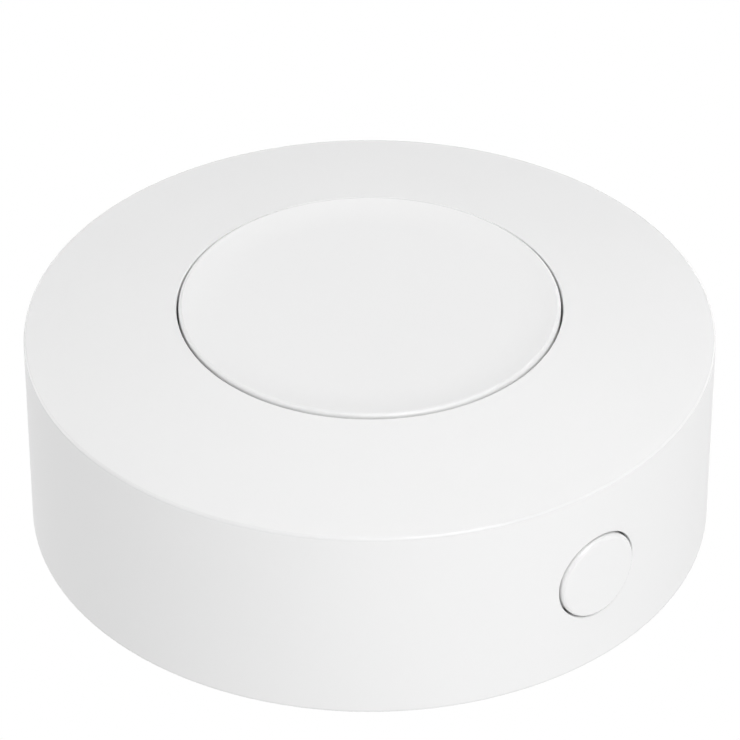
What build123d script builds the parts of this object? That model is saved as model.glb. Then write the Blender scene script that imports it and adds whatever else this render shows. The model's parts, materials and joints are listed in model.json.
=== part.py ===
from build123d import *
import math
import os

# Smart button: a round wireless push button with a second small button in its side wall.
# Millimetres. +Z is up, the origin is the middle of the face it stands on, the side button faces -Y.

# Coin cell, 24.5 across and 7.7 high
cell_radius = 12.25
cell_height = 7.7
cell_cap_inset = 1.65
cell_can_wall = 0.3
cell_gasket_width = 0.45
cell_step = 0.12
cell_bevel = 0.25
cell_cap_skirt = 1.6

# Heights of the layers from the foot up
foot_stand = 0.16
cover_thickness = 1.24
cell_play = 0.2
contact_space = 0.6
board_thickness = 0.8
switch_height = 1.5
press_gap = 0.11
post_length = 0.14
plate_thickness = 1.16
dish_depth = 0.22
border_rise = 0.16

# Switch and button travel
plunger_travel = 0.25
press_slack = 0.01

# Housing
wall_thickness = 1.5
roof_thickness = 1.4
crown_radius = 84.8
rim_round = 0.16
foot_bevel = 0.06
inner_bevel = 0.5
bore_bevel = 0.04
gap_radius = 10.82
ring_gap = 0.12
collar_width = 2.0

# Main button
dish_flat_radius = 8.4
dish_border_width = 0.22
button_round = 0.2
skirt_thickness = 0.9
tab_reach = 1.0
tab_thickness = 0.55
tab_gap = 0.06
tab_angle = 24
tab_count = 3
tab_first_angle = 30
board_air = 0.25
guide_air = 0.15
guide_inset = 0.2
guide_play_angle = 1.5
guide_angle = 5
guide_width = 1.5
post_radius = 1.3
stiffener_count = 6
stiffener_width = 0.7
stiffener_height = 0.4
stiffener_start = 4.4
stiffener_first_angle = 15

# Side button, round, in the wall
side_gap_radius = 2.62
side_ring_gap = 0.12
side_rise = 0.2
side_round = 0.25
side_hole_bevel = 0.04
side_flat_inset = 0.7
side_flat_radius = 3.9
side_flange_radius = 3.05
side_flange_half_width = 2.75
side_flange_thickness = 0.6
side_flange_gap = 0.06
side_key_play = 0.1
side_key_width = 0.6
side_key_length = 4.0
side_stem_radius = 1.3
side_stem_length = 0.5

# Side switch: a right-angle tact switch that hangs under the board
side_switch_size = 6.0
side_switch_air = 0.75
side_switch_depth = 3.4
side_switch_round = 0.25
side_plunger_radius = 1.7
side_plunger_reach = 0.8
side_plunger_flange_radius = 2.1
side_plunger_flange = 0.4
side_plunger_play = 0.15
side_plunger_bevel = 0.12
side_cavity_radius = 2.3
side_dome_height = 0.5
side_bracket_sheet = 0.25
side_bracket_depth = 2.6
side_bracket_trim = 0.15
side_leg_width = 0.9
side_leg_offset = 0.8
side_pin_width = 0.6
side_pin_sheet = 0.3
side_pin_spacing = 4.5
pin_stand = 0.6
pin_hole_play = 0.2
switch_clearance = 0.43

# Main switch: a low tact switch in the middle of the board
main_switch_size = 5.2
main_switch_round = 0.2
main_cover_sheet = 0.15
main_cover_play = 0.15
main_cover_lip = 0.55
main_cover_tongue = 1.3
main_plunger_radius = 1.25
main_plunger_reach = 0.35
main_plunger_bevel = 0.1
main_plunger_flange_radius = 1.7
main_plunger_flange = 0.25
main_cavity_radius = 1.95
main_floor = 0.25
dome_sheet = 0.08
dome_play = 0.15
dome_air = 0.02
terminal_sheet = 0.15
terminal_width = 0.7
terminal_rise = 0.35
terminal_step = 0.25
terminal_foot = 0.75
terminal_spacing = 3.7

# Tray that holds the cell
tray_clearance = 0.15
tray_wall = 0.8
tray_floor_air = 0.5
tray_lip_width = 1.2
tray_lip_gap = 0.05
tab_plate_thickness = 1.2
tray_tab_radius = 1.8
tray_tab_drop = 0.6
contact_slot_width = 6.2
contact_slot_start = 1.9
nail_notch_width = 9.0
nail_notch_height = 2.6
nail_notch_angle = 100

# Screws and their bosses
boss_angles = (20, 160, 220, 320)
boss_radius = 1.75
boss_shoulder_radius = 2.5
boss_inset = 2.2
boss_notch_play = 0.2
boss_sink = 0.5
pilot_radius = 0.65
pilot_depth = 2.3
screw_play = 0.02
screw_end_air = 0.2
screw_hole_radius = 0.85
screw_head_radius = 1.45
screw_head_height = 0.8
screw_recess_width = 0.35
screw_recess_length = 1.5
screw_recess_depth = 0.45
screw_head_bevel = 0.25

# Base cover and its bayonet
cover_gap = 0.15
cover_bevel = 0.2
cover_ring_clearance = 0.65
cover_ring_thickness = 1.0
ledge_clearance = 0.25
ledge_depth = 1.1
ledge_thickness = 0.8
ledge_gap = 0.1
lug_thickness = 0.7
lug_gap = 0.3
lug_angles = (-30, 90, 210)
lug_angle = 22
ledge_angle = 28
stop_angle = 3
stop_play_angle = 0.5
twist_angle = 30
cell_pad_radius = 8.0
cell_pad_width = 1.0
cell_pad_gap = 0.04
slot_length = 12.0
slot_width = 2.0
slot_depth = 0.7

# Foot pad
pad_thickness = 0.6
pad_outer_inset = 1.5
pad_inner_radius = 8.6
pad_play = 0.1
pad_bevel = 0.1

# Board and what is on it, in rows and columns round the main switch
board_gap = 0.7
chip_size = 4.0
chip_height = 0.85
chip_shift = 2.0
chip_bevel = 0.05
crystal_length = 3.2
crystal_width = 1.5
crystal_height = 0.7
crystal_shift = 3.2
crystal_round = 0.2
antenna_sheet = 0.05
antenna_line = 0.5
antenna_pitch = 1.5
antenna_reach = 1.8
antenna_turns = 6
antenna_edge = 1.2
part_length = 1.6
part_width = 0.8
capacitor_height = 0.8
resistor_height = 0.45
part_gap = 0.3
row_gap = 3.0
row_pitch = 2.6
column_pitch = 1.7
capacitor_column_steps = (1, 2)
capacitor_back_steps = (-1, 0)
capacitor_front_steps = (-1,)
resistor_column_steps = (-1, -2)
resistor_back_steps = (1,)
resistor_front_steps = (0, 1)

# Sheet metal contacts of the cell
contact_sheet = 0.2
contact_bend = 0.25
leaf_sheet = 0.15
leaf_width = 2.0
leaf_spacing = 3.2
leaf_foot = 3.0
leaf_run = 7.0
leaf_tip = 1.0
clip_width = 4.0
clip_foot = 1.0
clip_drop = 5.4
clip_flare = 0.45
clip_touch_drop = 3.8
clip_shoulder_drop = 1.1

# Modelling helpers' own sizes
overrun = 1.0
match_tolerance = 0.001

# Cell and heights worked out from the layers
cell_cap_radius = cell_radius - cell_cap_inset
cover_top_z = foot_stand + cover_thickness
cell_bottom_z = cover_top_z + cell_play
cell_top_z = cell_bottom_z + cell_height
board_bottom_z = cell_top_z + contact_space
board_top_z = board_bottom_z + board_thickness
plunger_top_z = board_top_z + switch_height
post_bottom_z = plunger_top_z + press_gap
plate_bottom_z = post_bottom_z + post_length
face_z = plate_bottom_z + plate_thickness
border_top_z = face_z + dish_depth
ring_top_z = border_top_z - border_rise
button_travel = plunger_travel + press_gap - press_slack

# Radii and offsets worked out from the pieces that sit beside one another
side_stack = (
    side_flange_gap
    + side_flange_thickness
    + side_stem_length
    + press_gap
    + side_plunger_reach
    + side_switch_depth
)
rim_stack = cover_ring_clearance + cover_ring_thickness + ledge_clearance + ledge_depth
cell_offset = (side_stack + side_flat_inset + switch_clearance - rim_stack) / 2
tray_inner_radius = cell_radius + tray_clearance
tray_outer_radius = tray_inner_radius + tray_wall
inner_radius = tray_outer_radius + cell_offset + rim_stack
outer_radius = inner_radius + wall_thickness
bore_radius = gap_radius + ring_gap / 2
button_radius = gap_radius - ring_gap / 2
collar_radius = bore_radius + collar_width

# The dome of the ring is part of a ball
crown_centre_z = ring_top_z - math.sqrt(crown_radius**2 - bore_radius**2)

# Main button levels
skirt_bottom_z = board_top_z + button_travel + board_air
collar_bottom_z = skirt_bottom_z + tab_thickness + tab_gap

# Side button levels, measured along Y from the middle
side_z = board_bottom_z - side_switch_air - side_switch_size / 2
side_flat_y = -(inner_radius - side_flat_inset)
side_flange_front_y = side_flat_y + side_flange_gap
side_flange_back_y = side_flange_front_y + side_flange_thickness
side_stem_tip_y = side_flange_back_y + side_stem_length
side_plunger_tip_y = side_stem_tip_y + press_gap
side_switch_front_y = side_plunger_tip_y + side_plunger_reach
side_switch_back_y = side_switch_front_y + side_switch_depth

# Main switch levels
main_case_top_z = plunger_top_z - main_plunger_reach - main_cover_sheet
main_flange_top_z = main_case_top_z - dome_air
main_flange_bottom_z = main_flange_top_z - main_plunger_flange
main_dome_base_z = board_top_z + main_floor + dome_air
main_dome_height = main_flange_bottom_z - dome_air - dome_sheet - main_dome_base_z

# Side switch levels, measured along Y
side_plunger_back_y = side_switch_front_y + dome_air + side_plunger_flange
side_dome_base_y = side_plunger_back_y + dome_air + side_dome_height + dome_sheet
side_leg_y = side_switch_front_y + side_leg_offset + side_leg_width / 2
side_pin_y = side_switch_back_y - side_leg_width

# Where the parts on the board stand
terminal_reach = main_switch_size / 2 + terminal_step * 2 + terminal_foot
chip_place = (-(terminal_reach + part_gap + chip_size / 2), chip_shift)
crystal_place = (-(terminal_reach + part_gap + crystal_width / 2), -crystal_shift)
column_x = terminal_reach + part_gap + part_length / 2
row_y = main_switch_size / 2 + row_gap + part_width / 2

# Bayonet levels
ledge_bottom_z = cover_top_z + ledge_gap
ledge_top_z = ledge_bottom_z + ledge_thickness
lug_bottom_z = ledge_top_z + ledge_gap
lug_top_z = lug_bottom_z + lug_thickness
ledge_inner_radius = inner_radius - ledge_depth
cover_ring_outer_radius = ledge_inner_radius - ledge_clearance
cover_ring_inner_radius = cover_ring_outer_radius - cover_ring_thickness
cover_radius = inner_radius - cover_gap

# Tray and screw levels
tray_bottom_z = cover_top_z + tray_floor_air
tray_tab_top_z = board_bottom_z - tray_tab_drop
tray_tab_bottom_z = tray_tab_top_z - tab_plate_thickness
boss_circle_radius = inner_radius - boss_inset

BOTTOM = (Align.CENTER, Align.CENTER, Align.MIN)
WALL_AXIS = Plane(origin=(0, 0, side_z), x_dir=(1, 0, 0), z_dir=(0, 1, 0))


def crown_z(radius, depth=0):
    """Height of the domed top at a radius, or of the surface a depth below it."""
    return crown_centre_z + math.sqrt((crown_radius - depth) ** 2 - radius**2)


def disc(radius, bottom, top):
    return Pos(0, 0, bottom) * Cylinder(radius, top - bottom, align=BOTTOM)


def tube(outer, inner, bottom, top):
    return disc(outer, bottom, top) - disc(inner, bottom, top)


def block(width, depth, bottom, top, x=0, y=0):
    return Pos(x, y, bottom) * Box(width, depth, top - bottom, align=BOTTOM)


def sector(inner, outer, bottom, top, middle_angle, angle):
    """A piece of a tube that spans an angle about +Z."""
    section = Pos((inner + outer) / 2, (bottom + top) / 2) * Rectangle(outer - inner, top - bottom)
    return Rot(0, 0, middle_angle - angle / 2) * revolve(Plane.XZ * section, Axis.Z, angle)


def turned(edges):
    """A solid of revolution about +Z from edges drawn as radius and height."""
    return revolve(Plane.XZ * make_face(edges), Axis.Z, 360)


def outline(points):
    return Polyline(*points, close=True)


def side_disc(radius, front, back):
    """A round disc whose axis runs through the side button, from one Y to another."""
    return Plane(WALL_AXIS.location * Pos(0, 0, front)) * Cylinder(radius, back - front, align=BOTTOM)


def polar(radius, angle):
    turn = math.radians(angle)
    return radius * math.cos(turn), radius * math.sin(turn)


def circles(shape, radius, height):
    """The round edges about +Z with this radius at this height."""
    return shape.edges().filter_by(
        lambda edge: edge.geom_type == GeomType.CIRCLE
        and abs(edge.radius - radius) < match_tolerance
        and abs(edge.arc_center.Z - height) < match_tolerance
        and abs(edge.arc_center.X) < match_tolerance
    )


def bent_strip(points, bend, sheet, width):
    """Sheet metal on the left of points drawn in X and Z, its width along Y."""
    path = FilletPolyline(*points, radius=bend)
    edge_line = offset(path, sheet, side=Side.LEFT)
    return extrude(Plane.XZ * make_face(edge_line.edges()), width / 2, both=True)


def leaf_strip(points, sheet, width):
    """Sheet metal that lies on points drawn in X and Z, its width along Y."""
    upper = [(x, z + sheet) for x, z in reversed(points)]
    return extrude(Plane.XZ * make_face(outline(points + upper)), width / 2, both=True)


def housing_shell():
    """Straight wall, domed ring and collar, turned in one piece."""
    mid_radius = (bore_radius + outer_radius) / 2
    mid_under = (collar_radius + inner_radius) / 2
    under_collar = (collar_radius, crown_z(collar_radius, roof_thickness))
    under_wall = (inner_radius, crown_z(inner_radius, roof_thickness))
    edges = [
        Polyline(
            under_wall,
            (inner_radius, foot_stand),
            (outer_radius, foot_stand),
            (outer_radius, crown_z(outer_radius)),
        ),
        ThreePointArc(
            (outer_radius, crown_z(outer_radius)),
            (mid_radius, crown_z(mid_radius)),
            (bore_radius, ring_top_z),
        ),
        Polyline(
            (bore_radius, ring_top_z),
            (bore_radius, collar_bottom_z),
            (collar_radius, collar_bottom_z),
            under_collar,
        ),
        ThreePointArc(
            under_collar,
            (mid_under, crown_z(mid_under, roof_thickness)),
            under_wall,
        ),
    ]
    shell = turned(edges)
    shell = fillet(circles(shell, outer_radius, crown_z(outer_radius)), rim_round)
    shell = chamfer(circles(shell, inner_radius, under_wall[1]), inner_bevel)
    shell = chamfer(circles(shell, outer_radius, foot_stand), foot_bevel)
    return chamfer(circles(shell, bore_radius, ring_top_z), bore_bevel)


def screw_bosses():
    """Stepped bosses: the shoulder holds the board down, the end holds the tray."""
    bosses = Part()
    for angle in boss_angles:
        x, y = polar(boss_circle_radius, angle)
        top = crown_z(boss_circle_radius, roof_thickness) + boss_sink
        bosses += Pos(x, y) * disc(boss_shoulder_radius, board_top_z, top)
        bosses += Pos(x, y) * disc(boss_radius, tray_tab_top_z, top)
    return bosses & disc(outer_radius - wall_thickness / 2, tray_tab_top_z, ring_top_z)


def pilot_holes():
    holes = Part()
    for angle in boss_angles:
        x, y = polar(boss_circle_radius, angle)
        holes += Pos(x, y) * disc(pilot_radius, tray_tab_top_z - overrun, tray_tab_top_z + pilot_depth)
    return holes


def guide_ribs():
    """Pairs of ribs under the collar that keep the main button from turning."""
    ribs = Part()
    half = tab_angle / 2 + guide_play_angle + guide_angle / 2
    for index in range(tab_count):
        middle = tab_first_angle + 360 / tab_count * index
        for angle in (middle - half, middle + half):
            ribs += sector(
                bore_radius + guide_inset,
                bore_radius + guide_inset + guide_width,
                board_top_z + guide_air,
                collar_bottom_z + tab_thickness,
                angle,
                guide_angle,
            )
    return ribs


def side_seat():
    """Flat round pad inside the wall, with the keys beside the side button's flange."""
    seat = side_disc(side_flat_radius, side_flat_y - wall_thickness, side_flat_y)
    key_x = side_flange_half_width + side_key_play + side_key_width / 2
    key_front_y = side_flat_y - side_flat_inset
    key = Box(side_key_width, side_flange_back_y - key_front_y, side_key_length)
    for x in (-key_x, key_x):
        seat += Pos(x, (side_flange_back_y + key_front_y) / 2, side_z) * key
    return seat & disc(outer_radius - wall_thickness / 2, foot_stand, ring_top_z)


def bayonet_ledges():
    """Ledges that carry the cover's lugs, each with a stop at both ends of the turn."""
    ledges = Part()
    sunk_radius = inner_radius + wall_thickness / 2
    for angle in lug_angles:
        ledge_middle = angle + (lug_angle - ledge_angle) / 2 + stop_play_angle
        ledges += sector(
            ledge_inner_radius, sunk_radius, ledge_bottom_z, ledge_top_z, ledge_middle, ledge_angle
        )
        locked = angle + lug_angle / 2 + stop_play_angle + stop_angle / 2
        opened = angle - twist_angle - lug_angle / 2 - stop_play_angle - stop_angle / 2
        for stop in (locked, opened):
            ledges += sector(ledge_inner_radius, sunk_radius, ledge_bottom_z, lug_top_z, stop, stop_angle)
    return ledges


def housing():
    hole_radius = side_gap_radius + side_ring_gap / 2
    body = housing_shell() + side_seat()
    body -= side_disc(hole_radius, -outer_radius - overrun, side_flat_y + overrun)
    mouth = body.edges().filter_by(
        lambda edge: edge.center().Y < -(inner_radius + wall_thickness / 2)
        and edge.bounding_box().size.X < hole_radius * 2 + match_tolerance
        and edge.bounding_box().size.Z > hole_radius
    )
    body = chamfer(mouth, side_hole_bevel)
    return body + bayonet_ledges() + screw_bosses() - pilot_holes() + guide_ribs()


def main_button():
    """Dished cap with a skirt, three hook tabs, ribs and a post over the switch."""
    border_radius = button_radius - dish_border_width
    flat = (dish_flat_radius, face_z)
    border = (border_radius, border_top_z)
    dish_ball = ((border_radius - dish_flat_radius) ** 2 + dish_depth**2) / (2 * dish_depth)
    half_run = (border_radius - dish_flat_radius) / 2
    dish_mid = (
        dish_flat_radius + half_run,
        face_z + dish_ball - math.sqrt(dish_ball**2 - half_run**2),
    )
    skirt_inner = button_radius - skirt_thickness
    edges = [
        Line((0, face_z), flat),
        ThreePointArc(flat, dish_mid, border),
        Polyline(
            border,
            (button_radius, border_top_z),
            (button_radius, skirt_bottom_z),
            (skirt_inner, skirt_bottom_z),
            (skirt_inner, plate_bottom_z),
            (post_radius, plate_bottom_z),
            (post_radius, post_bottom_z),
            (0, post_bottom_z),
            (0, face_z),
        ),
    ]
    cap = turned(edges)
    cap = fillet(circles(cap, button_radius, border_top_z), button_round)
    for index in range(tab_count):
        middle = tab_first_angle + 360 / tab_count * index
        cap += sector(
            skirt_inner,
            button_radius + tab_reach,
            skirt_bottom_z,
            skirt_bottom_z + tab_thickness,
            middle,
            tab_angle,
        )
    run = skirt_inner - stiffener_start
    for index in range(stiffener_count):
        rib = block(
            run + skirt_thickness / 2,
            stiffener_width,
            plate_bottom_z - stiffener_height,
            plate_bottom_z + plate_thickness / 2,
            stiffener_start + (run + skirt_thickness / 2) / 2,
        )
        cap += Rot(0, 0, stiffener_first_angle + 360 / stiffener_count * index) * rib
    return cap


def side_button():
    """Round cap that stands a little proud of the wall and follows it, with a keyed flange and a stem."""
    cap_radius = side_gap_radius - side_ring_gap / 2
    cap = side_disc(cap_radius, -outer_radius - overrun, side_flange_front_y)
    cap &= disc(outer_radius + side_rise, foot_stand, ring_top_z)
    rim = cap.edges().filter_by(lambda edge: edge.center().Y < side_flat_y - wall_thickness / 2)
    rim = rim.filter_by(lambda edge: edge.bounding_box().size.Z > cap_radius)
    cap = fillet(rim, side_round)
    flange = side_disc(side_flange_radius, side_flange_front_y, side_flange_back_y)
    flange &= block(
        side_flange_half_width * 2,
        inner_radius * 2,
        side_z - side_flange_radius,
        side_z + side_flange_radius,
    )
    return cap + flange + side_disc(side_stem_radius, side_flange_back_y, side_stem_tip_y)


def base_cover():
    """Battery cover: disc, bayonet ring with lugs, pad recess and coin slot."""
    recess_depth = pad_thickness - foot_stand
    recess_outer = cover_radius - pad_outer_inset + pad_play
    recess_inner = pad_inner_radius - pad_play
    cover = disc(cover_radius, foot_stand, cover_top_z)
    cover = chamfer(circles(cover, cover_radius, foot_stand), cover_bevel)
    cover += tube(cover_ring_outer_radius, cover_ring_inner_radius, cover_top_z, lug_top_z)
    cover += tube(
        cell_pad_radius + cell_pad_width,
        cell_pad_radius,
        cover_top_z,
        cell_bottom_z - cell_pad_gap,
    )
    for angle in lug_angles:
        cover += sector(
            cover_ring_inner_radius,
            inner_radius - lug_gap,
            lug_bottom_z,
            lug_top_z,
            angle,
            lug_angle,
        )
    cover -= tube(recess_outer, recess_inner, foot_stand - overrun, foot_stand + recess_depth)
    slot = SlotOverall(slot_length, slot_width)
    return cover - Pos(0, 0, foot_stand - overrun) * extrude(slot, slot_depth + overrun)


def foot_pad():
    outer = cover_radius - pad_outer_inset
    pad = tube(outer, pad_inner_radius, 0, pad_thickness)
    return chamfer(circles(pad, outer, 0) + circles(pad, pad_inner_radius, 0), pad_bevel)


def battery_tray():
    """Cup round the cell, open below, with a lip above it and four screw tabs."""
    tray = Pos(0, cell_offset) * tube(
        tray_outer_radius, tray_inner_radius, tray_bottom_z, board_bottom_z
    )
    tray += Pos(0, cell_offset) * tube(
        tray_inner_radius + tray_wall / 2,
        tray_inner_radius - tray_lip_width,
        cell_top_z + tray_lip_gap,
        board_bottom_z,
    )
    for angle in boss_angles:
        x, y = polar(boss_circle_radius, angle)
        reach = math.hypot(x, y - cell_offset) - tray_inner_radius
        lean = math.degrees(math.atan2(y - cell_offset, x))
        tab = disc(tray_tab_radius, tray_tab_bottom_z, tray_tab_top_z)
        tab += block(reach, tray_tab_radius * 2, tray_tab_bottom_z, tray_tab_top_z, -reach / 2)
        tray += Pos(x, y) * Rot(0, 0, lean) * tab
        tray -= Pos(x, y) * disc(screw_hole_radius, tray_tab_bottom_z - overrun, board_bottom_z)
    tray -= Pos(0, cell_offset) * disc(
        tray_inner_radius, tray_bottom_z - overrun, cell_top_z + tray_lip_gap
    )
    tray -= block(
        tray_outer_radius,
        contact_slot_width,
        tray_bottom_z + contact_slot_start,
        board_bottom_z + overrun,
        tray_outer_radius,
        cell_offset,
    )
    notch = block(
        tray_wall + overrun * 2,
        nail_notch_width,
        tray_bottom_z - overrun,
        tray_bottom_z + nail_notch_height,
        tray_outer_radius,
    )
    return tray - Pos(0, cell_offset) * Rot(0, 0, nail_notch_angle) * notch


def tray_screws():
    """Four pan head screws, heads down, as separate solids."""
    screws = []
    recess_z = tray_tab_bottom_z - screw_head_height + screw_recess_depth
    for angle in boss_angles:
        x, y = polar(boss_circle_radius, angle)
        head_z = tray_tab_bottom_z - screw_head_height
        screw = disc(screw_head_radius, head_z, tray_tab_bottom_z)
        screw = chamfer(circles(screw, screw_head_radius, head_z), screw_head_bevel)
        screw += disc(
            pilot_radius - screw_play,
            tray_tab_bottom_z - screw_head_height / 2,
            tray_tab_top_z + pilot_depth - screw_end_air,
        )
        for turn in (0, 90):
            cross = block(screw_recess_length, screw_recess_width, head_z - overrun, recess_z)
            screw -= Rot(0, 0, turn) * cross
        screws.append(Pos(x, y) * screw)
    return Compound(children=screws)


def circuit_board():
    """Round board, notched round the bosses, with holes for the side switch."""
    board = disc(inner_radius - board_gap, board_bottom_z, board_top_z)
    below, above = board_bottom_z - overrun, board_top_z + overrun
    for angle in boss_angles:
        x, y = polar(boss_circle_radius, angle)
        board -= Pos(x, y) * disc(boss_radius + boss_notch_play, below, above)
        outer = polar(boss_circle_radius + boss_radius, angle)
        notch = block(boss_radius * 2, (boss_radius + boss_notch_play) * 2, below, above)
        board -= Pos(*outer) * Rot(0, 0, angle) * notch
    for x in (-side_pin_spacing / 2, side_pin_spacing / 2):
        board -= Pos(x, side_pin_y) * disc(side_pin_width / 2 + pin_hole_play, below, above)
    leg_x = side_switch_size / 2 + side_bracket_sheet / 2
    for x in (-leg_x, leg_x):
        board -= block(
            side_bracket_sheet + pin_hole_play * 2,
            side_leg_width + pin_hole_play * 2,
            below,
            above,
            x,
            side_leg_y,
        )
    return board


def snap_dome(radius, height, sheet):
    """Thin round snap dome, its rim at height zero."""
    ball = (radius**2 + height**2) / (2 * height)
    half = radius / 2
    mid_z = height - ball + math.sqrt(ball**2 - half**2)
    edges = [
        ThreePointArc((0, height), (half, mid_z), (radius, 0)),
        Line((radius, 0), (radius, sheet)),
        ThreePointArc((radius, sheet), (half, mid_z + sheet), (0, height + sheet)),
        Line((0, height + sheet), (0, height)),
    ]
    return turned(edges)


def main_switch_case():
    size = main_switch_size
    case = block(size, size, board_top_z, main_case_top_z)
    case = fillet(case.edges().filter_by(Axis.Z), main_switch_round)
    return case - disc(main_cavity_radius, board_top_z + main_floor, plunger_top_z)


def main_switch_cover():
    """Metal plate over the case, bent down at two sides."""
    size = main_switch_size
    top = main_case_top_z
    cover = block(size - main_switch_round, size - main_switch_round, top, top + main_cover_sheet)
    cover = fillet(cover.edges().filter_by(Axis.Z), main_switch_round)
    lip_y = size / 2 + main_cover_sheet / 2
    tongue_y = lip_y - main_cover_tongue / 2
    for side in (-1, 1):
        cover += block(
            size / 2, main_cover_sheet, top - main_cover_lip, top + main_cover_sheet, 0, side * lip_y
        )
        cover += block(
            size / 2, main_cover_tongue, top, top + main_cover_sheet, 0, side * tongue_y
        )
    return cover - disc(main_plunger_radius + main_cover_play, top - overrun, top + overrun)


def main_switch_plunger():
    plunger = disc(main_plunger_radius, main_flange_bottom_z, plunger_top_z)
    plunger = chamfer(circles(plunger, main_plunger_radius, plunger_top_z), main_plunger_bevel)
    return plunger + disc(main_plunger_flange_radius, main_flange_bottom_z, main_flange_top_z)


def main_switch_dome():
    dome = snap_dome(main_cavity_radius - dome_play, main_dome_height, dome_sheet)
    return Pos(0, 0, main_dome_base_z) * dome


def main_switch_terminals():
    """Four gull-wing terminals soldered to the board."""
    start = main_switch_size / 2
    points = [
        (start, board_top_z + terminal_rise),
        (start + terminal_step, board_top_z + terminal_rise),
        (start + terminal_step * 2, board_top_z),
        (start + terminal_step * 2 + terminal_foot, board_top_z),
    ]
    terminals = []
    for turn in (0, 180):
        for y in (-terminal_spacing / 2, terminal_spacing / 2):
            strip = leaf_strip(points, terminal_sheet, terminal_width)
            terminals.append(Rot(0, 0, turn) * Pos(0, y) * strip)
    return Compound(children=terminals)


def side_switch_case():
    size = side_switch_size
    bottom, top = side_z - size / 2, side_z + size / 2
    middle_y = (side_switch_front_y + side_switch_back_y) / 2
    case = block(size, side_switch_depth, bottom, top, 0, middle_y)
    case = fillet(case.edges().filter_by(Axis.Y), side_switch_round)
    floor_y = side_dome_base_y + dome_air
    return case - side_disc(side_cavity_radius, side_switch_front_y - overrun, floor_y)


def side_switch_bracket():
    """Sheet bracket round the case with two legs that pass through the board."""
    half = side_switch_size / 2
    front_y = side_switch_front_y
    points = [
        (-half, front_y + side_bracket_depth),
        (-half, front_y),
        (half, front_y),
        (half, front_y + side_bracket_depth),
    ]
    path = FilletPolyline(*points, radius=match_tolerance)
    shape = make_face(offset(path, side_bracket_sheet, side=Side.RIGHT).edges())
    bottom = side_z - half + side_bracket_trim
    top = side_z + half - side_bracket_trim
    bracket = Pos(0, 0, bottom) * extrude(shape, top - bottom)
    leg_x = half + side_bracket_sheet / 2
    for x in (-leg_x, leg_x):
        bracket += block(
            side_bracket_sheet, side_leg_width, side_z, board_top_z + pin_stand, x, side_leg_y
        )
    window = side_plunger_radius + side_plunger_play
    return bracket - side_disc(window, front_y - overrun, front_y + overrun)


def side_switch_plunger():
    flange_front_y = side_switch_front_y + dome_air
    plunger = side_disc(side_plunger_radius, side_plunger_tip_y, side_plunger_back_y)
    tip = plunger.edges().sort_by(Axis.Y)[0]
    plunger = chamfer(tip, side_plunger_bevel)
    return plunger + side_disc(
        side_plunger_flange_radius, flange_front_y, side_plunger_back_y
    )


def side_switch_dome():
    dome = snap_dome(side_cavity_radius - dome_play, side_dome_height, dome_sheet)
    facing = Plane(origin=(0, side_dome_base_y, side_z), x_dir=(1, 0, 0), z_dir=(0, -1, 0))
    return facing * dome


def side_switch_terminals():
    """Two straight pins from the case up through the board."""
    pins = []
    for x in (-side_pin_spacing / 2, side_pin_spacing / 2):
        pins.append(
            block(
                side_pin_width,
                side_pin_sheet,
                side_z + side_switch_size / 2,
                board_top_z + pin_stand,
                x,
                side_pin_y,
            )
        )
    return Compound(children=pins)


def cell_can():
    """Steel can, the wide flat face down, its top crimped in over the gasket."""
    top = cell_top_z - cell_step
    inside = cell_radius - cell_can_wall
    lip = cell_cap_radius + cell_gasket_width
    can = disc(cell_radius, cell_bottom_z, top)
    can = chamfer(circles(can, cell_radius, cell_bottom_z), cell_bevel)
    can = chamfer(circles(can, cell_radius, top), cell_bevel)
    can -= disc(inside, cell_bottom_z + cell_can_wall, top - cell_can_wall)
    return can - disc(lip, cell_bottom_z + cell_can_wall, top + overrun)


def cell_gasket():
    """Plastic seal between the two poles, stepped like the can it lines."""
    top = cell_top_z - cell_step
    inside = cell_radius - cell_can_wall
    collar = top - cell_can_wall
    seal = tube(inside, inside - cell_gasket_width, cell_bottom_z + cell_can_wall, collar)
    seal += tube(inside, cell_cap_radius, collar - cell_gasket_width, collar)
    return seal + tube(cell_cap_radius + cell_gasket_width, cell_cap_radius, collar, top)


def cell_cap():
    """The other pole: a shallow steel lid."""
    cap = disc(cell_cap_radius, cell_top_z - cell_cap_skirt, cell_top_z)
    cap = chamfer(circles(cap, cell_cap_radius, cell_top_z), cell_bevel)
    inside = cell_cap_radius - cell_can_wall
    return cap - disc(inside, cell_bottom_z, cell_top_z - cell_can_wall)


def cell_filling():
    """The pressed electrodes and their soaked separator, taken as one round block."""
    top = cell_top_z - cell_can_wall
    inside = cell_cap_radius - cell_can_wall
    wide = cell_radius - cell_can_wall - cell_gasket_width
    filling = disc(inside, cell_bottom_z + cell_can_wall, top)
    return filling + disc(wide, cell_bottom_z + cell_can_wall, cell_top_z - cell_cap_skirt)


def positive_contact():
    """Strip that hangs from the board and springs against the can's side."""
    board_z = board_bottom_z
    outer_x = cell_radius + clip_flare
    points = [
        (outer_x + clip_foot, board_z),
        (outer_x, board_z),
        (outer_x, board_z - clip_shoulder_drop),
        (cell_radius, board_z - clip_touch_drop),
        (outer_x, board_z - clip_drop),
    ]
    strip = bent_strip(points, contact_bend, contact_sheet, clip_width)
    return Pos(0, cell_offset) * strip


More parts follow.
